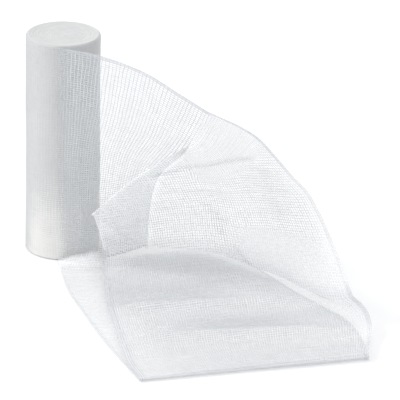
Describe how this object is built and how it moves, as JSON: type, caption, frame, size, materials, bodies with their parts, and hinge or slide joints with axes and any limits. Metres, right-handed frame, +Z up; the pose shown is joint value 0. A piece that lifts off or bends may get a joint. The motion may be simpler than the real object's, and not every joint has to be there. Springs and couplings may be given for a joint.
{
  "type": "rolled gauze bandage",
  "caption": "Roll of open-weave gauze bandage standing on end, with its loose end pulled off, draped to the surface and folded under.",
  "frame": {"origin": "centre of the roll's lower end face, on the surface it stands on", "axes": "+Z up along the roll's axis, +X to the right along the pulled-off cloth, -Y towards the viewer and the front fold"},
  "size_m": [0.1506, 0.1618, 0.1004],
  "materials": {
    "wound_gauze": "matte",
    "loose_gauze": "matte"
  },
  "bodies": {
    "root": {"roll": "wound_gauze", "loose_end": "loose_gauze"}
  },
  "joints": []
}
